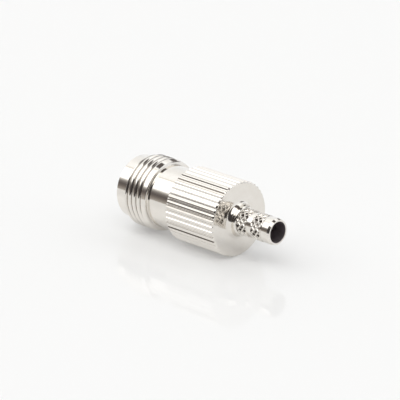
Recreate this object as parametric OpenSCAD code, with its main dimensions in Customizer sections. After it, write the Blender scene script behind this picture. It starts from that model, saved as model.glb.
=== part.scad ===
// Threaded coaxial cable jack with a crimp stem: a turned body, its insulator and its socket contact.
// It stands on its mating face. The axis is +Z, from the centre of the mating face towards the cable.

/* [Pilot and coupling thread] */
// Outside diameter of the plain pilot ahead of the thread
pilot_d = 9.66; // [9.4:0.02:9.9]
// Length of the pilot, from the mating face to the thread
pilot_l = 2.55; // [2.2:0.01:3.4]
// Chamfer on the outer edge of the mating face
pilot_chamfer = 0.15; // [0.05:0.05:0.25]
// Major diameter of the coupling thread, 7/16 inch
thread_d = 11.1; // [10.8:0.02:11.4]
// Pitch of the coupling thread, 28 to the inch
thread_pitch = 0.907; // [0.7:0.001:1.1]
// Number of thread grooves along the coupling thread
thread_grooves = 4; // [3:1:5]
// Distance from the thread's front edge to the middle of its first groove
thread_lead = 0.29; // [0.2:0.01:0.32]
// Width of the flat on top of each crest
thread_crest = 0.24; // [0.1:0.01:0.3]
// How far a crest's sides fall before the groove begins
thread_fall = 0.16; // [0.08:0.01:0.2]
// Width of a groove
groove_w = 0.22; // [0.16:0.01:0.3]
// Depth of a groove under the crests
groove_depth = 0.39; // [0.3:0.01:0.45]
// Distance from the middle of the last groove to the rear of the thread's shoulder
shoulder_l = 1.05; // [0.8:0.01:1.3]
// Diameter of the shoulder at its rear edge
shoulder_d = 10.66; // [10.2:0.02:10.9]

/* [Neck and knurled grip] */
// Diameter of the plain neck behind the thread
neck_d = 9.66; // [9.4:0.02:9.9]
// Length of the neck
neck_l = 4.47; // [3:0.01:6]
// Diameter over the knurled grip
grip_d = 11.42; // [11:0.02:12]
// Length of the grip
grip_l = 9.73; // [8:0.02:12]
// Chamfer on both ends of the grip
grip_chamfer = 0.18; // [0.05:0.01:0.3]
// Number of straight ribs around the grip
knurl_count = 42; // [36:1:48]
// Width of each rib's crest
knurl_crest = 0.27; // [0.15:0.01:0.35]
// Depth of the grooves between the ribs
knurl_depth = 0.2; // [0.12:0.01:0.25]
// Angle between the two flanks of a groove
knurl_angle = 94; // [80:1:100]

/* [Crimp stem] */
// Length of the stem behind the grip
stem_l = 7.72; // [7:0.02:10]
// Diameter of the plain parts of the stem
stem_d = 3.9; // [3.8:0.02:4.2]
// Diameter of the boss at the stem's root
boss_d = 5.4; // [4.8:0.02:6]
// Length of the boss's straight part
boss_l = 0.1; // [0.1:0.02:0.4]
// Length of the boss's domed part
boss_round_l = 1; // [0.6:0.05:1.2]
// Fillet between the boss and the grip's rear face
boss_fillet = 0.05; // [0.02:0.01:0.1]
// Length of the plain part between the boss and the first band
root_gap = 0.25; // [0.2:0.01:0.4]
// Length of each diamond-knurled band
band_l = 1.82; // [1.4:0.02:2]
// Length of the plain part between the two bands
band_gap = 0.93; // [0.6:0.01:1.3]
// Height of the diamonds' points over the stem
diamond_rise = 0.13; // [0.05:0.01:0.2]
// Depth of the diamonds' valleys under the stem
diamond_sink = 0.12; // [0.05:0.01:0.14]
// Number of diamonds around the stem
diamond_count = 12; // [10:1:16]
// Length of one diamond along the stem
diamond_pitch = 0.91; // [0.6:0.01:1.2]
// Length of the chamfer at the stem's free end
tip_chamfer_l = 0.5; // [0.3:0.05:0.6]
// Height of the chamfer at the stem's free end
tip_chamfer_h = 0.2; // [0.1:0.01:0.22]

/* [Bores] */
// Diameter of the mouth that takes the mating plug
mouth_d = 8.13; // [7.8:0.01:8.4]
// Depth of the mouth, from the mating face to its shoulder
mouth_depth = 8.4; // [7.8:0.05:9]
// Chamfer at the entry of the mouth
mouth_chamfer = 0.25; // [0.1:0.05:0.4]
// Diameter of the bore that holds the insulator
seat_d = 7; // [6.4:0.05:7.4]
// Thickness of the rear wall between the insulator and the grip's rear face
web_l = 4.4; // [3:0.1:6]
// Diameter of the bore for the cable's core, through the rear wall and the stem
cable_bore_d = 3.23; // [3.1:0.01:3.3]
// Flare at the free end of the cable bore
cable_flare = 0.06; // [0.02:0.01:0.08]

/* [Insulator] */
// Diameter of the insulator's nose inside the mouth
nose_d = 4.72; // [4.3:0.02:5]
// Distance from the mating face to the insulator's front end
nose_recess = 3.2; // [2.6:0.05:4]
// Chamfer on the insulator's edges
insulator_chamfer = 0.2; // [0.1:0.05:0.4]

/* [Centre contact] */
// Outside diameter of the contact
contact_d = 2.1; // [1.9:0.02:2.3]
// Distance from the insulator's front end to the contact's front end
contact_recess = 0.2; // [0.1:0.05:0.5]
// Diameter of the bore for the mating pin
socket_d = 1.36; // [1.3:0.01:1.45]
// Depth of the bore for the mating pin
socket_depth = 5; // [4:0.1:6]
// Lead-in chamfer at the mouth of the socket
socket_chamfer = 0.15; // [0.05:0.01:0.2]
// Width of the slots between the socket's fingers
slot_w = 0.2; // [0.1:0.01:0.22]
// Length of the slots
slot_l = 4; // [3:0.1:4.8]
// Diameter of the collar that seats in the insulator
collar_d = 2.6; // [2.5:0.02:2.9]
// Length of the collar
collar_l = 1; // [0.6:0.1:1.5]
// Distance from the collar's front to the insulator's rear end
collar_depth = 4.6; // [4.2:0.1:4.8]
// Diameter of the cup for the cable's conductor
cup_d = 1; // [0.9:0.02:1.2]
// Depth of the cup
cup_depth = 3; // [2.6:0.1:3.2]
// Diameter of the hole that shows the conductor in the cup
sight_d = 0.6; // [0.4:0.05:0.8]
// Distance from the contact's rear end to the insulator's rear end
contact_setback = 0.2; // [0.1:0.05:0.4]

/* [Clearances] */
// Radial gap between the insulator and its bore
seat_gap = 0.01; // [0.005:0.005:0.03]
// Radial gap between the contact and the insulator
contact_gap = 0.02; // [0.01:0.01:0.05]

/* [Hidden] */

// Facets of a full turn, the step of a rounded edge and how far a cut runs past a face
$fn = 128;
arc_step = 15;
past = 1;
// How far neighbouring stretches of the body reach into each other
join = 1;

// Thread form: the length of a crest's sloping side, and how far the first crest has fallen at the front edge
thread_side = (thread_pitch - thread_crest - groove_w) / 2;
front_fall = thread_fall * max(0, 1 - (thread_lead - groove_w / 2) / thread_side);

// Places along the axis
thread_z = pilot_l;
groove_z = thread_z + thread_lead;
last_groove_z = groove_z + (thread_grooves - 1) * thread_pitch;
neck_z = last_groove_z + shoulder_l;
grip_z = neck_z + neck_l;
rear_z = grip_z + grip_l;
band_z = rear_z + boss_l + boss_round_l + root_gap;
band_step = band_l + band_gap;
tip_z = rear_z + stem_l;
web_z = rear_z - web_l;
contact_z = nose_recess + contact_recess;
contact_end = web_z - contact_setback;
collar_z = web_z - collar_depth;

// Radii
pilot_r = pilot_d / 2;
thread_r = thread_d / 2;
shoulder_r = shoulder_d / 2;
neck_r = neck_d / 2;
grip_r = grip_d / 2;
boss_r = boss_d / 2;
stem_r = stem_d / 2;
cable_bore_r = cable_bore_d / 2;
mouth_r = mouth_d / 2;
seat_r = seat_d / 2;
nose_r = nose_d / 2;
contact_r = contact_d / 2;
collar_r = collar_d / 2;

// Knurl: half a rib's pitch, the grooves' radius, and the half angles of a rib's crest and foot
knurl_half = 180 / knurl_count;
knurl_root_r = grip_r - knurl_depth;
knurl_foot_w = knurl_crest + 2 * knurl_depth * tan(knurl_angle / 2);
rib_crest = asin(knurl_crest / grip_d);
rib_foot = min(asin(knurl_foot_w / 2 / knurl_root_r), 0.95 * knurl_half);

// Diamond bands: rows of half diamonds, and the radii of points, valleys and the core under them
band_rows = 2 * max(1, round(band_l / diamond_pitch));
band_columns = 2 * diamond_count;
point_r = stem_r + diamond_rise;
valley_r = stem_r - diamond_sink;
core_r = (valley_r * cos(180 / band_columns) + cable_bore_r) / 2;
lining_r = (core_r + cable_bore_r) / 2;

nickel = [0.8, 0.78, 0.75];
ptfe = [0.94, 0.94, 0.92];
gold = [0.85, 0.68, 0.32];

// A point at an angle and a radius in a level plane
function polar(r, angle, z) = [r * cos(angle), r * sin(angle), z];

// Outline of one thread groove around height z, up to the crest behind it
function groove_points(z) = [
    [thread_r - thread_fall, z - groove_w / 2],
    [thread_r - groove_depth, z],
    [thread_r - thread_fall, z + groove_w / 2],
    [thread_r, z + groove_w / 2 + thread_side]
];

// Outline of one rib around an angle
function rib_points(angle) = [
    for (corner = [[-rib_foot, knurl_root_r], [-rib_crest, grip_r], [0, grip_r], [rib_crest, grip_r],
                   [rib_foot, knurl_root_r]])
        corner[1] * [cos(angle + corner[0]), sin(angle + corner[0])]
];

// A quarter of an ellipse that falls from r + h to r over the length l, starting at height z
function falling_edge(r, h, z, l) = [for (t = [0:arc_step:90]) [r + h * cos(t), z + l * sin(t)]];

// Outline of the two recesses under the diamond bands
function recess_points(z) = [[stem_r, z], [core_r, z], [core_r, z + band_l], [stem_r, z + band_l]];

// Pilot, thread, shoulder and neck
module front_turning() {
    rotate_extrude()
        polygon([
            [0, 0],
            [pilot_r - pilot_chamfer, 0],
            [pilot_r, pilot_chamfer],
            [pilot_r, thread_z],
            [thread_r - front_fall, thread_z],
            each groove_points(groove_z),
            for (i = [1:thread_grooves - 1])
                each [
                    [thread_r, groove_z + i * thread_pitch - groove_w / 2 - thread_side],
                    each groove_points(groove_z + i * thread_pitch)
                ],
            [thread_r, last_groove_z + thread_pitch / 2],
            [shoulder_r, neck_z],
            [neck_r, neck_z],
            [neck_r, grip_z + join],
            [0, grip_z + join]
        ]);
}

// Grip with straight ribs, chamfered at both ends
module knurled_grip() {
    intersection() {
        rotate_extrude()
            polygon([
                [0, grip_z],
                [grip_r - grip_chamfer, grip_z],
                [grip_r + past, grip_z + grip_chamfer + past],
                [grip_r + past, rear_z - grip_chamfer - past],
                [grip_r - grip_chamfer, rear_z],
                [0, rear_z]
            ]);
        translate([0, 0, grip_z - past])
            linear_extrude(grip_l + 2 * past)
                polygon([for (i = [0:knurl_count - 1]) each rib_points((2 * i + 1) * knurl_half)]);
    }
}

// Boss and plain parts of the stem, with a recess under each diamond band
module stem_turning() {
    rotate_extrude()
        polygon([
            [0, rear_z - join],
            [boss_r + boss_fillet, rear_z - join],
            for (t = [0:arc_step:90])
                [boss_r + boss_fillet * (1 - sin(t)), rear_z + boss_fillet * (1 - cos(t))],
            each falling_edge(stem_r, boss_r - stem_r, rear_z + boss_l, boss_round_l),
            for (i = [0, 1]) each recess_points(band_z + i * band_step),
            [stem_r, tip_z - tip_chamfer_l],
            [stem_r - tip_chamfer_h, tip_z],
            [0, tip_z]
        ]);
}

// Ring of four-sided diamonds: points and valleys alternate along and around the band
module diamond_band(z) {
    rows = band_rows + 1;
    row_l = band_l / band_rows;
    sunk = row_l / 4;
    outer = [
        for (i = [0:band_rows], j = [0:band_columns - 1])
            let (edge = i == 0 || i == band_rows)
            let (r = edge || (i + j) % 2 == 1 ? valley_r : point_r)
            polar(r, j * 360 / band_columns, z + i * row_l + (i == 0 ? -sunk : i == band_rows ? sunk : 0))
    ];
    inner = [
        for (i = [0, band_rows], j = [0:band_columns - 1])
            polar(lining_r, j * 360 / band_columns, z + i * row_l + (i == 0 ? -sunk : sunk))
    ];
    first_inner = rows * band_columns;
    function at(i, j) = i * band_columns + j % band_columns;
    function lining(i, j) = first_inner + i * band_columns + j % band_columns;
    polyhedron(
        concat(outer, inner),
        concat(
            [
                for (i = [0:band_rows - 1], j = [0:band_columns - 1])
                    each (i + j) % 2 == 0
                        ? [[at(i, j), at(i + 1, j), at(i, j + 1)],
                           [at(i + 1, j), at(i + 1, j + 1), at(i, j + 1)]]
                        : [[at(i, j), at(i + 1, j), at(i + 1, j + 1)],
                           [at(i, j), at(i + 1, j + 1), at(i, j + 1)]]
            ],
            [
                for (j = [0:band_columns - 1])
                    each [
                        [at(0, j), at(0, j + 1), lining(0, j + 1), lining(0, j)],
                        [lining(0, j), lining(0, j + 1), lining(1, j + 1), lining(1, j)],
                        [lining(1, j), lining(1, j + 1), at(band_rows, j + 1), at(band_rows, j)]
                    ]
            ]
        )
    );
}

// Mouth, insulator seat and cable bore
module body_bores() {
    rotate_extrude()
        polygon([
            [0, -past],
            [mouth_r + mouth_chamfer + past, -past],
            [mouth_r, mouth_chamfer],
            [mouth_r, mouth_depth],
            [seat_r, mouth_depth],
            [seat_r, web_z],
            [cable_bore_r, web_z],
            [cable_bore_r, tip_z - cable_flare],
            [cable_bore_r + cable_flare + past, tip_z + past],
            [0, tip_z + past]
        ]);
}

module connector_body() {
    color(nickel)
        difference() {
            union() {
                front_turning();
                knurled_grip();
                stem_turning();
                for (i = [0, 1])
                    diamond_band(band_z + i * band_step);
            }
            body_bores();
        }
}

// Plastic insulator: a nose in the mouth, a body in the seat and a stepped bore for the contact
module insulator() {
    body_r = seat_r - seat_gap;
    hole_r = contact_r + contact_gap;
    color(ptfe)
        rotate_extrude()
            polygon([
                [hole_r, nose_recess],
                [nose_r - insulator_chamfer, nose_recess],
                [nose_r, nose_recess + insulator_chamfer],
                [nose_r, mouth_depth],
                [body_r, mouth_depth],
                [body_r, web_z - insulator_chamfer],
                [body_r - insulator_chamfer, web_z],
                [collar_r + contact_gap, web_z],
                [collar_r + contact_gap, collar_z],
                [hole_r, collar_z]
            ]);
}

// Turned contact: slotted socket at the front, collar, and a cup for the conductor at the rear
module centre_contact() {
    socket_r = socket_d / 2;
    cup_r = cup_d / 2;
    color(gold)
        difference() {
            rotate_extrude()
                polygon([
                    [socket_r + socket_chamfer, contact_z],
                    [contact_r, contact_z],
                    [contact_r, collar_z],
                    [collar_r, collar_z],
                    [collar_r, collar_z + collar_l],
                    [contact_r, collar_z + collar_l],
                    [contact_r, contact_end],
                    [cup_r, contact_end],
                    [cup_r, contact_end - cup_depth],
                    [0, contact_end - cup_depth],
                    [0, contact_z + socket_depth],
                    [socket_r, contact_z + socket_depth],
                    [socket_r, contact_z + socket_chamfer]
                ]);
            for (angle = [0, 90])
                rotate(angle)
                    translate([-contact_d, -slot_w / 2, contact_z - past])
                        cube([2 * contact_d, slot_w, slot_l + past]);
            translate([0, 0, contact_end - cup_depth / 2])
                rotate([0, 90, 0])
                    cylinder(d = sight_d, h = contact_d);
        }
}

connector_body();
insulator();
centre_contact();
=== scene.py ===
import math

import bpy
from mathutils import Matrix, Vector


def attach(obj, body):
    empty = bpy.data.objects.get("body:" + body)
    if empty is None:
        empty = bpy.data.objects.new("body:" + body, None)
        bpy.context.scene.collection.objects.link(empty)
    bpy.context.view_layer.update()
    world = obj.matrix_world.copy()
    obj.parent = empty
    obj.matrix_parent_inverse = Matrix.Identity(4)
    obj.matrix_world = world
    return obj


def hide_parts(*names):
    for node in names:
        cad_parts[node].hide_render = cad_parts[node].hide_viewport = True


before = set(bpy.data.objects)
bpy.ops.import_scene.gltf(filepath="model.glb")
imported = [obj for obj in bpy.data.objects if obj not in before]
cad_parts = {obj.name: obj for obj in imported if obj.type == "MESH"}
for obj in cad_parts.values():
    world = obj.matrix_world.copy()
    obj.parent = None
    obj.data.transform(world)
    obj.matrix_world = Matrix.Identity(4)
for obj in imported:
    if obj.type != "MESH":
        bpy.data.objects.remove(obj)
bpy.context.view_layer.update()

# Sizes of the part, in millimetres and degrees. Heights rise from the mating face.
MM = 0.001
PILOT_R, PILOT_CHAMFER = 4.83, 0.15
THREAD_Z, THREAD_R, PITCH = 2.55, 5.55, 0.907
FLANK, CREST_ROUND, NOTCH_W, NOTCH_DEPTH = 47, 0.45, 0.2, 0.22
SHOULDER_Z, SHOULDER_ROUND = 5.7, 3.0
LIP_Z, LIP_R, LIP_ROUND = 6.58, 5.33, 0.06
NECK_Z, NECK_R = 6.63, 4.83
GRIP_Z, REAR_Z, GRIP_R = 11.081, 20.811, 5.71
GRIP_CHAMFER, CHAMFER_SLOPE = 0.2, 1.1
RIBS, RIB_CREST, RIB_DEPTH, RIB_FLANK = 42, 0.27, 0.18, 44
RIB_CREST_ROUND, RIB_ROOT_ROUND = 0.1, 0.22
BOSS_ROOT_R, BOSS_R, BOSS_FLARE_L, BOSS_ROUND_L = 2.95, 2.28, 0.9, 0.32
STEM_R = 1.95
BAND_Z, BAND_L, BAND_EASE = (22.06, 24.8), 1.82, 0.12
DIAMONDS, DIAMOND_PITCH, DIAMOND_ANGLE, DIAMOND_RISE = 12, 0.87, 10, 0.25
RIDGE_R, PIT_DEPTH, PIT_BULGE, PIT_EASE = 2.05, 0.32, 0.6, 0.1
TIP_Z, TIP_R, TIP_CHAMFER_L, TIP_CHAMFER_H, TIP_CHAMFER_ROUND = 28.531, 2.0, 0.44, 0.14, 0.2
MOUTH_R, MOUTH_DEPTH, MOUTH_CHAMFER = 4.065, 8.4, 0.25
SEAT_R, WEB_Z = 3.5, 16.411
BORE_R, BORE_FLARE = 1.615, 0.03

# The thread is a right-hand helix. Its groove passes HELIX_Z at HELIX_ANGLE and ends HELIX_END turns on.
HELIX_Z, HELIX_ANGLE = 2.8, -46.7
HELIX_END, HELIX_FADE = 3.3, 0.2

# Past the last band the stem swells from its own radius to the tip's, between these two distances
SWELL_START, SWELL_END, SWELL_ROUND = 0.12, 0.3, 0.3

# Painted shade in the thread grooves and diamond pits: how dark it gets, the depth at which that starts and
# the depth over which it grows
THREAD_SHADE, THREAD_SHADE_FROM, THREAD_SHADE_OVER = 0.55, 0.08, 0.15
PIT_SHADE, PIT_SHADE_FROM, PIT_SHADE_OVER = 1.0, 0.02, 0.1

# Edge finish, and how far lines of the mesh lie from a rounding, a face's rim, the lip and a band
EDGE, TOOL_MARK_DEPTH = 0.04, 0.02
HOLD, FACE_INSET, NECK_LEAD, BAND_GUARD = 0.03, 0.3, 0.1, 0.04

# The most that a rounding and its held line take of the shorter side beside a corner
ROUNDING_SHARE, HOLD_SHARE = 0.4, 0.1

# Rows of the mesh along a chamfer of the grip, as shares of its length
CHAMFER_ROWS = (0.4, 0.7, 0.9, 1.0, 1.1, 1.4)

# The insulator's seat is where the skin's first and last rings meet, at these heights
SEAT_FRONT, SEAT_BACK = (MOUTH_DEPTH + share * (WEB_Z - MOUTH_DEPTH) for share in (0.4, 0.6))

# Mesh density
PLAIN_COLUMNS = 240
STEM_COLUMNS = 20 * DIAMONDS
THREAD_ROWS = 112
BAND_ROWS = 32
CREST_STEPS, FLARE_STEPS, ENVELOPE_STEPS = 12, 12, 8

# Camera: how the axis lies in the picture, the pixel and distance of the grip's rear face, and its scale
PICTURE = 400
AXIS_TILT, AXIS_LEAN, SPIN = 18.67, 40.9, 121.7
REAR_PIXEL = (239.3, 219.32)
PIXELS_PER_MM, DISTANCE = 6.84, 469.5
SENSOR = 36
CLIP_END = 20

# The backdrop's white, and the floor's reach in metres, its shade, its glow and its gloss
FLOOR_REACH, FLOOR_FRONT = 0.6, 0.06
WHITE, FLOOR_SHADE = (0.947, 0.947, 0.945), (0.893, 0.893, 0.89)
FLOOR_GLOW, FLOOR_GLOW_SHARE = 1.12, 0.25
FLOOR_GLOSS_SHARE, FLOOR_ROUGHNESS = 0.07, 0.015

# Light tent: its tones, and how the tones of its two sides change from the floor up
DUSK, DARK, ROOM = (0.5, 0.47, 0.43), (0.125, 0.11, 0.105), (0.055, 0.05, 0.05)
SOFTBOX, TENT, CEILING = (1.9, 1.9, 1.88), (1.02, 1.04, 1.06), (1.28, 1.29, 1.29)
EDGING = (0.95, 0.9, 0.82)
NEAR_TONES = [
    (0.0, DUSK), (0.1, (0.34, 0.31, 0.28)), (0.2, (0.19, 0.165, 0.15)), (0.3, DARK),
    (0.4, (0.22, 0.2, 0.19)), (0.48, (0.55, 0.53, 0.5)), (0.56, SOFTBOX), (1.0, SOFTBOX)]
FAR_TONES = [(0.36, TENT), (0.66, (1.09, 1.09, 1.08)), (0.76, CEILING), (1.0, CEILING)]

# Light tent: where its edges and patches lie, in directions from the part. A slope tilts an edge along the
# axis. A pair says where a thing starts and where it is full. A triple says where a patch has its middle,
# how far from there it is full, and how far from there it is nothing.
NEAR_SLOPE = -0.163
OPENING_SIDE = (-0.2, -0.1)
LINTEL_SLOPE, LINTEL = 0.4, (0.79, 0.73)
SEAM_SLOPE, SEAM = 0.24, (-0.03, 0.03)
SEAM_EDGING = (-0.02, 0.015, 0.05)

# A dark bar lies on a level plane above the part, bent along its length. A dark gap lies on an upright
# plane behind the part, and a bright post parts it. LEAST is the least that these planes divide by.
BAR_X, BAR_Y = (0.3, 0.82, 0.92), (-0.22, 0.18, 0.24)
BAR_BEND, BAR_BEND_X = 0.2, 0.25
GAP_X, GAP_Y, GAP_POST = (0.1, 0.75, 0.9), (0.42, 0.18, 0.28), (0.22, 0.28, 0.18)
LEAST = 0.05


# Maths

def soft_min(a, b, width):
    """The smaller of two values, rounded where they cross."""
    reach = max(width - abs(a - b), 0.0) / width
    return min(a, b) - reach * reach * width / 4


def ease(x):
    """0 up to x = 0, 1 from x = 1, and a smooth rise between."""
    x = min(max(x, 0.0), 1.0)
    return x * x * (3 - 2 * x)


def spread(first, last, count):
    """count values from first to last, both included."""
    return [first + (last - first) * i / (count - 1) for i in range(count)]


def looked_up(points, x):
    """The value at x on a line through (x, value) points that rise in x."""
    for (x0, y0), (x1, y1) in zip(points, points[1:]):
        if x <= x1:
            return y0 + (y1 - y0) * (x - x0) / (x1 - x0) if x1 > x0 else y1
    return points[-1][1]


def triangle_wave(x):
    """A wave of period 1 that is 0 at whole numbers and 1 halfway."""
    return 1 - abs(2 * (x % 1.0) - 1)


# Outlines and rings

def rounded(outline, steps=4):
    """An outline of (x, y, rounding) points with rounded corners and a held line beside each rounding."""
    points = []
    for i, (x, y, rounding) in enumerate(outline):
        corner = Vector((x, y))
        if rounding == 0 or i in (0, len(outline) - 1):
            points.append(corner)
            continue
        before = Vector(outline[i - 1][:2]) - corner
        after = Vector(outline[i + 1][:2]) - corner
        half = before.angle(after) / 2
        shorter = min(before.length, after.length)
        reach = min(rounding / math.tan(half), ROUNDING_SHARE * shorter)
        start = corner + before.normalized() * reach
        end = corner + after.normalized() * reach
        hold = min(HOLD, HOLD_SHARE * shorter)
        points.append(start + before.normalized() * hold)
        for t in spread(0, 1, steps + 1):
            points.append(start.lerp(corner, t).lerp(corner.lerp(end, t), t))
        points.append(end + after.normalized() * hold)
    return [(p.x, p.y) for p in points]


def quarter(r, height, z, length, steps=8):
    """Points of a quarter of an ellipse from (r + height, z) to (r, z + length)."""
    turns = [math.radians(t) for t in spread(0, 90, steps + 1)]
    return [(r + height * math.cos(t), z + length * math.sin(t)) for t in turns]


def turned(angle, r, z):
    """The point at an angle in degrees, a radius and a height."""
    return r * math.cos(math.radians(angle)), r * math.sin(math.radians(angle)), z


def ring(columns, z, radius):
    """A ring of points at height z. radius is a number, or a function of the angle in degrees."""
    angles = [360 * i / columns for i in range(columns)]
    return [turned(angle, radius(angle) if callable(radius) else radius, z) for angle in angles]


def bridge(faces, a, b, count_a, count_b):
    """Faces between two rings that start at vertices a and b, also where their counts differ."""
    if count_a == count_b:
        for i in range(count_a):
            j = (i + 1) % count_a
            faces.append((a + i, a + j, b + j, b + i))
        return
    i = j = 0
    while i < count_a or j < count_b:
        here_a, here_b = a + i % count_a, b + j % count_b
        if j == count_b or (i < count_a and (i + 1) * count_b <= (j + 1) * count_a):
            i += 1
            faces.append((here_a, a + i % count_a, here_b))
        else:
            j += 1
            faces.append((here_a, b + j % count_b, here_b))


def skin(name, rings):
    """A smooth mesh object over a closed series of rings of points, given in millimetres."""
    points, faces, starts = [], [], []
    for points_of_ring in rings:
        starts.append(len(points))
        points += [[MM * c for c in p] for p in points_of_ring]
    for m in range(len(rings)):
        n = (m + 1) % len(rings)
        bridge(faces, starts[m], starts[n], len(rings[m]), len(rings[n]))
    mesh = bpy.data.meshes.new(name)
    mesh.from_pydata(points, [], faces)
    mesh.validate()
    mesh.shade_smooth()
    obj = bpy.data.objects.new(name, mesh)
    bpy.context.scene.collection.objects.link(obj)
    return obj


# Connector body

def groove_form():
    """(distance from the middle, depth) across half a groove: narrow notch, straight flank, round crest."""
    turns = [math.radians(t) for t in spread(FLANK, 0, CREST_STEPS + 1)]
    crest = [(PITCH / 2 - CREST_ROUND * math.sin(t), CREST_ROUND * (1 - math.cos(t))) for t in turns]
    flank_end, flank_depth = crest[0]
    depth = flank_depth + (flank_end - NOTCH_W / 2) * math.tan(turns[0])
    return [(0, depth + NOTCH_DEPTH), (NOTCH_W / 2, depth)] + crest


def thread_envelope():
    """(height, radius) over the crests: lead, thread, crowned shoulder, steep lip and neck."""
    return rounded([
        (THREAD_Z, THREAD_R - EDGE, 0),
        (THREAD_Z + EDGE, THREAD_R, EDGE),
        (SHOULDER_Z, THREAD_R, SHOULDER_ROUND),
        (LIP_Z, LIP_R, LIP_ROUND),
        (NECK_Z, NECK_R, LIP_ROUND),
        (NECK_Z + 2 * NECK_LEAD, NECK_R, 0)], ENVELOPE_STEPS)


def rib_outline():
    """(angle, radius) points round the knurled grip: flat crests, sloping flanks, rounded grooves."""
    half_pitch = math.pi * GRIP_R / RIBS
    half_crest = RIB_CREST / 2
    foot = half_crest + RIB_DEPTH / math.tan(math.radians(RIB_FLANK))
    root_r = GRIP_R - RIB_DEPTH
    rib = rounded([
        (0, GRIP_R, 0),
        (half_crest, GRIP_R, RIB_CREST_ROUND),
        (foot, root_r, RIB_ROOT_ROUND),
        (half_pitch, root_r, 0)])
    points = []
    for i in range(RIBS):
        middle = (2 * i + 1) * half_pitch
        points += [(middle - x, r) for x, r in reversed(rib[1:])]
        points += [(middle + x, r) for x, r in rib[:-1]]
    return [(math.degrees(x / GRIP_R), r) for x, r in points]


GROOVE_FORM = groove_form()
ENVELOPE = thread_envelope()
RIB_OUTLINE = rib_outline()


def thread_radius(z, angle):
    """Radius of the helical thread at a height and an angle."""
    turn = ((angle - HELIX_ANGLE + 180) % 360 - 180) / 360
    lap = round((z - HELIX_Z) / PITCH - turn)
    along = lap + turn
    depth = looked_up(GROOVE_FORM, abs(z - HELIX_Z - along * PITCH))
    depth *= ease((HELIX_END - along) / HELIX_FADE)
    return soft_min(looked_up(ENVELOPE, z), THREAD_R - depth, EDGE)


def grip_ring(z, inset=0.0):
    """A ring round the knurled grip, cut down by the chamfers at its two ends."""
    limit = GRIP_R + CHAMFER_SLOPE * (min(z - GRIP_Z, REAR_Z - z, 2 * GRIP_CHAMFER) - GRIP_CHAMFER)
    return [turned(angle, min(r, limit) - inset, z) for angle, r in RIB_OUTLINE]


def diamond_radius(rise, angle):
    """Radius of a diamond band at a height above its start: four-sided pits between crossing ridges."""
    around = (angle - DIAMOND_ANGLE) * DIAMONDS / 360
    along = (rise - DIAMOND_RISE) / DIAMOND_PITCH
    pit = min(triangle_wave(around + along), triangle_wave(around - along))
    pit *= 1 + PIT_BULGE - PIT_BULGE * pit
    end = min(rise, BAND_L - rise)
    return STEM_R + (RIDGE_R - STEM_R) * ease(end / BAND_EASE) - PIT_DEPTH * pit * ease(end / PIT_EASE)


def front_rings():
    """The insulator's seat, the mouth, the mating face and the pilot."""
    outline = rounded([
        (SEAT_R, SEAT_FRONT, 0),
        (SEAT_R, MOUTH_DEPTH, EDGE),
        (MOUTH_R, MOUTH_DEPTH, EDGE),
        (MOUTH_R, MOUTH_CHAMFER, EDGE),
        (MOUTH_R + MOUTH_CHAMFER, 0, EDGE),
        (PILOT_R - PILOT_CHAMFER, 0, EDGE),
        (PILOT_R, PILOT_CHAMFER, EDGE),
        (PILOT_R, THREAD_Z, EDGE),
        (PILOT_R + 4 * EDGE, THREAD_Z, 0)])
    return [ring(PLAIN_COLUMNS, z, r) for r, z in outline]


def thread_rings():
    """The thread, its shoulder and lip, and the neck up to the grip."""
    rings = []
    for z in spread(THREAD_Z, NECK_Z + NECK_LEAD, THREAD_ROWS):
        rings.append(ring(PLAIN_COLUMNS, z, lambda angle: thread_radius(z, angle)))
    neck = rounded([
        (NECK_R, NECK_Z + NECK_LEAD + EDGE, 0),
        (NECK_R, GRIP_Z, 2 * EDGE),
        (NECK_R + FACE_INSET, GRIP_Z, 0)])
    return rings + [ring(PLAIN_COLUMNS, z, r) for r, z in neck]


def grip_rings():
    """The knurled grip, from its front face to its rear face."""
    bevel = EDGE / 2
    ends = [bevel] + [share * GRIP_CHAMFER for share in CHAMFER_ROWS]
    rings = [grip_ring(GRIP_Z, bevel + HOLD), grip_ring(GRIP_Z, bevel)]
    rings += [grip_ring(GRIP_Z + end) for end in ends]
    rings += [grip_ring(REAR_Z - end) for end in reversed(ends)]
    return rings + [grip_ring(REAR_Z, bevel), grip_ring(REAR_Z, bevel + HOLD)]


def stem_rings():
    """The rear face, the flared boss and the two diamond bands."""
    boss_z = REAR_Z + BOSS_FLARE_L
    boss = [(GRIP_R - 2 * FACE_INSET, REAR_Z), (BOSS_ROOT_R + HOLD, REAR_Z)]
    boss += reversed(quarter(BOSS_ROOT_R, BOSS_R - BOSS_ROOT_R, boss_z, -BOSS_FLARE_L, FLARE_STEPS))
    boss += quarter(STEM_R, BOSS_R - STEM_R, boss_z + HOLD, BOSS_ROUND_L)
    rings = [ring(STEM_COLUMNS, z, r) for r, z in boss]
    for band_z in BAND_Z:
        if band_z != BAND_Z[0]:
            rings += [ring(STEM_COLUMNS, band_z - i * BAND_GUARD, STEM_R) for i in (2, 1)]
        for rise in spread(0, BAND_L, BAND_ROWS + 1):
            rings.append(ring(STEM_COLUMNS, band_z + rise, lambda angle: diamond_radius(rise, angle)))
        rings += [ring(STEM_COLUMNS, band_z + BAND_L + i * BAND_GUARD, STEM_R) for i in (1, 2)]
    return rings


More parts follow.
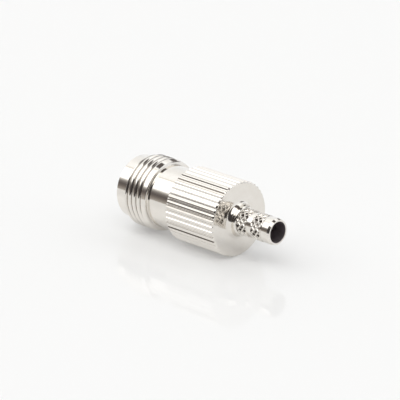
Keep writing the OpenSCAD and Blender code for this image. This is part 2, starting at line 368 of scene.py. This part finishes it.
def tip_rings():
    """The stem's plain end, the cable's bore and the web, back to the insulator's seat."""
    bands_end = BAND_Z[-1] + BAND_L
    outline = rounded([
        (STEM_R, bands_end + SWELL_START, 0),
        (TIP_R, bands_end + SWELL_END, SWELL_ROUND),
        (TIP_R, TIP_Z - TIP_CHAMFER_L, TIP_CHAMFER_ROUND),
        (TIP_R - TIP_CHAMFER_H, TIP_Z, EDGE),
        (BORE_R + BORE_FLARE, TIP_Z, EDGE / 2),
        (BORE_R, TIP_Z - BORE_FLARE, EDGE / 2),
        (BORE_R, WEB_Z, EDGE),
        (SEAT_R, WEB_Z, EDGE),
        (SEAT_R, SEAT_BACK, 0)])
    return [ring(STEM_COLUMNS, z, r) for r, z in outline]


def recess_at(x, y, z):
    """How much painted shade a point of the body gets, 0 to 1, by how far into a thread groove or a diamond
    pit it lies.
    """
    r = math.hypot(x, y)
    if THREAD_Z < z < SHOULDER_Z + PITCH / 4 and r > NECK_R:
        return THREAD_SHADE * ease((looked_up(ENVELOPE, z) - THREAD_SHADE_FROM - r) / THREAD_SHADE_OVER)
    if BAND_Z[0] < z < BAND_Z[-1] + BAND_L and r > BORE_R + BORE_FLARE:
        return PIT_SHADE * ease((STEM_R - PIT_SHADE_FROM - r) / PIT_SHADE_OVER)
    return 0.0


# Shader nodes

def node(tree, kind, **inputs):
    """A shader node. An input that is a socket is linked; any other sets the socket's own value."""
    made = tree.nodes.new(kind)
    for name, value in inputs.items():
        by_place = name[0] == "i" and name[1:].isdigit()
        socket = made.inputs[int(name[1:]) if by_place else name.replace("_", " ")]
        if isinstance(value, bpy.types.NodeSocket):
            tree.links.new(value, socket)
        else:
            socket.default_value = value
    return made


def math_node(tree, operation, *values):
    """A Math node's output."""
    made = node(tree, "ShaderNodeMath", **{f"i{i}": v for i, v in enumerate(values)})
    made.operation = operation
    return made.outputs[0]


def vector_node(tree, operation, *values):
    """A Vector Math node."""
    made = node(tree, "ShaderNodeVectorMath", **{f"i{i}": v for i, v in enumerate(values)})
    made.operation = operation
    return made


def plus(tree, value, other, share):
    """A value plus a share of another."""
    return math_node(tree, "ADD", value, math_node(tree, "MULTIPLY", other, share))


def between(tree, value, start, full):
    """0 where a value is at start, 1 where it is at full, and a straight line between."""
    return node(tree, "ShaderNodeMapRange", Value=value, From_Min=start, From_Max=full).outputs["Result"]


def patch(tree, value, middle, full, end):
    """1 where a value lies within full of a middle and 0 beyond end, or 0 within end and 1 beyond full."""
    off = math_node(tree, "ABSOLUTE", math_node(tree, "SUBTRACT", value, middle))
    return between(tree, off, end, full)


def laid_over(tree, factor, under, over):
    """A colour laid over another by a factor."""
    over = over if isinstance(over, bpy.types.NodeSocket) else (*over, 1)
    return node(tree, "ShaderNodeMixRGB", Fac=factor, Color1=under, Color2=over).outputs["Color"]


def ramp(tree, factor, stops):
    """A Color Ramp's colour, from (position, colour) stops."""
    made = node(tree, "ShaderNodeValToRGB", Fac=factor)
    elements = made.color_ramp.elements
    while len(elements) < len(stops):
        elements.new(0.5)
    for element, (position, colour) in zip(elements, stops):
        element.position = position
        element.color = (*colour, 1)
    return made.outputs["Color"]


# Materials

def new_material(name):
    """An empty material's node tree, its Principled shader, and the object's coordinates in millimetres."""
    material = bpy.data.materials.new(name)
    material.use_nodes = True
    tree = material.node_tree
    shader = tree.nodes["Principled BSDF"]
    coordinates = tree.nodes.new("ShaderNodeTexCoord").outputs["Object"]
    millimetres = vector_node(tree, "SCALE", coordinates)
    millimetres.inputs["Scale"].default_value = 1 / MM
    return material, tree, shader, millimetres.outputs["Vector"]


def add_tool_marks(tree, shader, position, scale, strength):
    """Bumps that are the same all round the Z axis, as tool marks on a turned piece are."""
    parts = node(tree, "ShaderNodeSeparateXYZ", Vector=position).outputs
    squares = [math_node(tree, "POWER", parts[name], 2.0) for name in "XY"]
    radius = math_node(tree, "SQRT", math_node(tree, "ADD", *squares))
    along = node(tree, "ShaderNodeCombineXYZ", X=radius, Z=parts["Z"]).outputs["Vector"]
    lines = node(tree, "ShaderNodeTexNoise", Vector=along, Scale=scale, Detail=3.0).outputs["Fac"]
    bump = node(tree, "ShaderNodeBump", Height=lines, Strength=strength, Distance=TOOL_MARK_DEPTH * MM)
    tree.links.new(bump.outputs["Normal"], shader.inputs["Normal"])


def plated_metal(name, pale, deep, smooth, rough, marks):
    """Plated turned metal: uneven tint and gloss, and faint tool marks."""
    material, tree, shader, position = new_material(name)
    cloud = node(tree, "ShaderNodeTexNoise", Vector=position, Scale=0.9, Detail=4.0).outputs["Fac"]
    tree.links.new(ramp(tree, cloud, [(0.3, deep), (0.7, pale)]), shader.inputs["Base Color"])
    grain = node(tree, "ShaderNodeTexNoise", Vector=position, Scale=6.0, Detail=6.0).outputs["Fac"]
    gloss = node(tree, "ShaderNodeMapRange", Value=grain, To_Min=smooth, To_Max=rough)
    tree.links.new(gloss.outputs["Result"], shader.inputs["Roughness"])
    add_tool_marks(tree, shader, position, scale=18.0, strength=marks)
    shader.inputs["Metallic"].default_value = 1.0
    return material


def darken_recesses(material, colour):
    """Paint shade into a metal's colour, darkening it towards a given colour in the grooves and pits that
    its mesh marks in a point attribute.
    """
    tree = material.node_tree
    base = tree.nodes["Principled BSDF"].inputs["Base Color"]
    recess = tree.nodes.new("ShaderNodeAttribute")
    recess.attribute_name = "recess"
    shaded_base = laid_over(tree, recess.outputs["Fac"], base.links[0].from_socket, colour)
    tree.links.new(shaded_base, base)


def turned_plastic(name, pale, deep):
    """Pale waxy plastic with soft mottling and fine turning lines."""
    material, tree, shader, position = new_material(name)
    cloud = node(tree, "ShaderNodeTexNoise", Vector=position, Scale=1.4, Detail=5.0).outputs["Fac"]
    tree.links.new(ramp(tree, cloud, [(0.3, deep), (0.7, pale)]), shader.inputs["Base Color"])
    gloss = node(tree, "ShaderNodeMapRange", Value=cloud, To_Min=0.36, To_Max=0.5)
    tree.links.new(gloss.outputs["Result"], shader.inputs["Roughness"])
    add_tool_marks(tree, shader, position, scale=9.0, strength=0.25)
    shader.inputs["Subsurface Weight"].default_value = 0.15
    shader.inputs["Subsurface Radius"].default_value = (0.4, 0.4, 0.35)
    shader.inputs["Subsurface Scale"].default_value = MM
    return material


NICKEL = plated_metal(
    "bright_nickel", pale=(0.82, 0.79, 0.745), deep=(0.79, 0.755, 0.705), smooth=0.07, rough=0.12,
    marks=0.05)
# Rough drilled nickel for the cable's bore, its colour darkened as painted shade deep in the bore
DULL_SHADED_NICKEL = plated_metal(
    "drilled_nickel_painted_shade", pale=(0.55, 0.5, 0.52), deep=(0.46, 0.41, 0.43), smooth=0.46, rough=0.56, marks=0.3)
GOLD = plated_metal(
    "bright_gold", pale=(0.86, 0.66, 0.3), deep=(0.8, 0.59, 0.24), smooth=0.14, rough=0.22, marks=0.1)
PTFE = turned_plastic("white_fluoropolymer", pale=(0.91, 0.91, 0.89), deep=(0.86, 0.86, 0.835))
# Painted shade: the bright nickel darkens to a brown grey deep in the thread grooves and diamond pits
darken_recesses(NICKEL, colour=(0.3, 0.27, 0.24))


# Pieces

rings = front_rings() + thread_rings() + grip_rings() + stem_rings() + tip_rings()
body = skin("connector_body_turned", rings)
# Each point's share of the painted shade, by its depth in a thread groove or a diamond pit
recess = body.data.attributes.new("recess", "FLOAT", "POINT")
for vertex, value in zip(body.data.vertices, recess.data):
    value.value = recess_at(*(c / MM for c in vertex.co))
body.data.materials.append(NICKEL)
body.data.materials.append(DULL_SHADED_NICKEL)
# Faces inside the cable's bore take the rough nickel with painted shade
for face in body.data.polygons:
    x, y, z = face.center / MM
    if math.hypot(x, y) < BORE_R + 0.5 * BORE_FLARE and z > WEB_Z:
        face.material_index = 1
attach(body, "root")
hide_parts("connector_body")
for name, material in (("insulator", PTFE), ("centre_contact", GOLD)):
    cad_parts[name].material_slots[0].material = material

bpy.context.scene.view_settings.view_transform = "Standard"


# Camera, as in the photograph: the part lies on its side, its stem to the right and towards the camera

tilt, lean, spin = (math.radians(a) for a in (AXIS_TILT, AXIS_LEAN, SPIN))
axis_seen = Vector((math.cos(lean) * math.cos(tilt), math.cos(lean) * math.sin(tilt), -math.sin(lean)))
up_edge = axis_seen.cross(Vector((0, 0, 1))).normalized()
near_edge = axis_seen.cross(up_edge)
x_seen = math.cos(spin) * up_edge + math.sin(spin) * near_edge
y_seen = -math.sin(spin) * up_edge + math.cos(spin) * near_edge
right, down, forward = (Vector((x_seen[i], y_seen[i], axis_seen[i])) for i in range(3))

camera_data = bpy.data.cameras.new("camera")
camera_data.sensor_width = SENSOR
camera_data.lens = SENSOR * PIXELS_PER_MM * DISTANCE / PICTURE
camera_data.clip_end = CLIP_END
camera = bpy.data.objects.new("camera", camera_data)
bpy.context.scene.collection.objects.link(camera)
bpy.context.scene.camera = camera
across, below = ((pixel - PICTURE / 2) / PIXELS_PER_MM for pixel in REAR_PIXEL)
place = Vector((0, 0, REAR_Z)) - across * right - below * down - DISTANCE * forward
facing = Matrix((right, -down, -forward)).transposed().to_4x4()
camera.matrix_world = Matrix.Translation(place * MM) @ facing


# Floor, under the lying part

axis = Vector((0, 0, 1))
floor_up = axis.cross(right).normalized()
side = axis.cross(floor_up)


def floor_material():
    """White to the camera and in reflections, with a light shadow and a faint mirror image.

    From behind nothing is seen.
    """
    material = bpy.data.materials.new("pale_floor")
    material.use_nodes = True
    tree = material.node_tree
    tree.nodes.remove(tree.nodes["Principled BSDF"])
    matte = node(tree, "ShaderNodeBsdfDiffuse", Color=(*FLOOR_SHADE, 1)).outputs[0]
    white = node(tree, "ShaderNodeEmission", Color=(*WHITE, 1), Strength=FLOOR_GLOW).outputs[0]
    path = tree.nodes.new("ShaderNodeLightPath").outputs
    seen = math_node(tree, "MAXIMUM", path["Is Camera Ray"], path["Is Glossy Ray"])
    share = math_node(tree, "MULTIPLY", seen, FLOOR_GLOW_SHARE)
    pale = node(tree, "ShaderNodeMixShader", Fac=share, i1=matte, i2=white).outputs[0]
    gloss = node(tree, "ShaderNodeBsdfGlossy", Color=(1, 1, 1, 1), Roughness=FLOOR_ROUGHNESS).outputs[0]
    pale = node(tree, "ShaderNodeMixShader", Fac=FLOOR_GLOSS_SHARE, i1=pale, i2=gloss).outputs[0]
    back = tree.nodes.new("ShaderNodeNewGeometry").outputs["Backfacing"]
    clear = tree.nodes.new("ShaderNodeBsdfTransparent").outputs[0]
    both = node(tree, "ShaderNodeMixShader", Fac=back, i1=pale, i2=clear).outputs[0]
    tree.links.new(both, tree.nodes["Material Output"].inputs["Surface"])
    return material


floor_mesh = bpy.data.meshes.new("floor")
middle = MM * (Vector((0, 0, TIP_Z / 2)) - GRIP_R * floor_up)
ends, edges = (-FLOOR_REACH, FLOOR_REACH), (-FLOOR_REACH, FLOOR_FRONT)
corners = [middle + ends[i] * axis + edges[j] * side for i, j in ((0, 0), (0, 1), (1, 1), (1, 0))]
floor_mesh.from_pydata(corners, [], [(0, 1, 2, 3)])
floor = bpy.data.objects.new("floor", floor_mesh)
if floor_mesh.polygons[0].normal.dot(floor_up) < 0:
    floor_mesh.flip_normals()
floor_mesh.materials.append(floor_material())
bpy.context.scene.collection.objects.link(floor)


# Light tent round the part, which lights it and shows in it; the camera itself sees a white backdrop

def tent_colour(tree):
    """The tent's colour by direction: its rise from the floor, and how far it goes sideways and endways."""
    direction = tree.nodes.new("ShaderNodeTexCoord").outputs["Generated"]
    rise, sideways, endways = (
        vector_node(tree, "DOT_PRODUCT", direction, way).outputs["Value"] for way in (floor_up, side, axis))

    near_side = ramp(tree, plus(tree, rise, endways, NEAR_SLOPE), NEAR_TONES)
    past_side = between(tree, endways, *OPENING_SIDE)
    under_lintel = between(tree, plus(tree, rise, endways, LINTEL_SLOPE), *LINTEL)
    near_side = laid_over(tree, math_node(tree, "MULTIPLY", past_side, under_lintel), near_side, ROOM)

    far_side = ramp(tree, rise, FAR_TONES)
    seam = plus(tree, sideways, endways, SEAM_SLOPE)
    tent = laid_over(tree, between(tree, seam, *SEAM), far_side, near_side)
    tent = laid_over(tree, patch(tree, seam, *SEAM_EDGING), tent, EDGING)

    up = math_node(tree, "MAXIMUM", rise, LEAST)
    bar_x = math_node(tree, "DIVIDE", endways, up)
    off = math_node(tree, "SUBTRACT", bar_x, BAR_BEND_X)
    bend = math_node(tree, "MULTIPLY", off, off)
    bar_y = plus(tree, math_node(tree, "DIVIDE", sideways, up), bend, BAR_BEND)
    bar = math_node(tree, "MULTIPLY", patch(tree, bar_x, *BAR_X), patch(tree, bar_y, *BAR_Y))
    tent = laid_over(tree, bar, tent, DARK)

    away = math_node(tree, "MAXIMUM", math_node(tree, "MULTIPLY", sideways, -1.0), LEAST)
    gap_x = math_node(tree, "DIVIDE", endways, away)
    gap_y = math_node(tree, "DIVIDE", rise, away)
    gap = math_node(tree, "MULTIPLY", patch(tree, gap_x, *GAP_X), patch(tree, gap_y, *GAP_Y))
    gap = math_node(tree, "MULTIPLY", gap, patch(tree, gap_x, *GAP_POST))
    return laid_over(tree, gap, tent, DARK)


world = bpy.data.worlds.new("light_tent")
world.use_nodes = True
bpy.context.scene.world = world
tree = world.node_tree
tree.nodes.clear()
studio = node(tree, "ShaderNodeBackground", Color=tent_colour(tree), Strength=1.0).outputs[0]
backdrop = node(tree, "ShaderNodeBackground", Color=(*WHITE, 1), Strength=1.0).outputs[0]
seen = tree.nodes.new("ShaderNodeLightPath").outputs["Is Camera Ray"]
sky = node(tree, "ShaderNodeMixShader", Fac=seen, i1=studio, i2=backdrop).outputs[0]
node(tree, "ShaderNodeOutputWorld", Surface=sky)
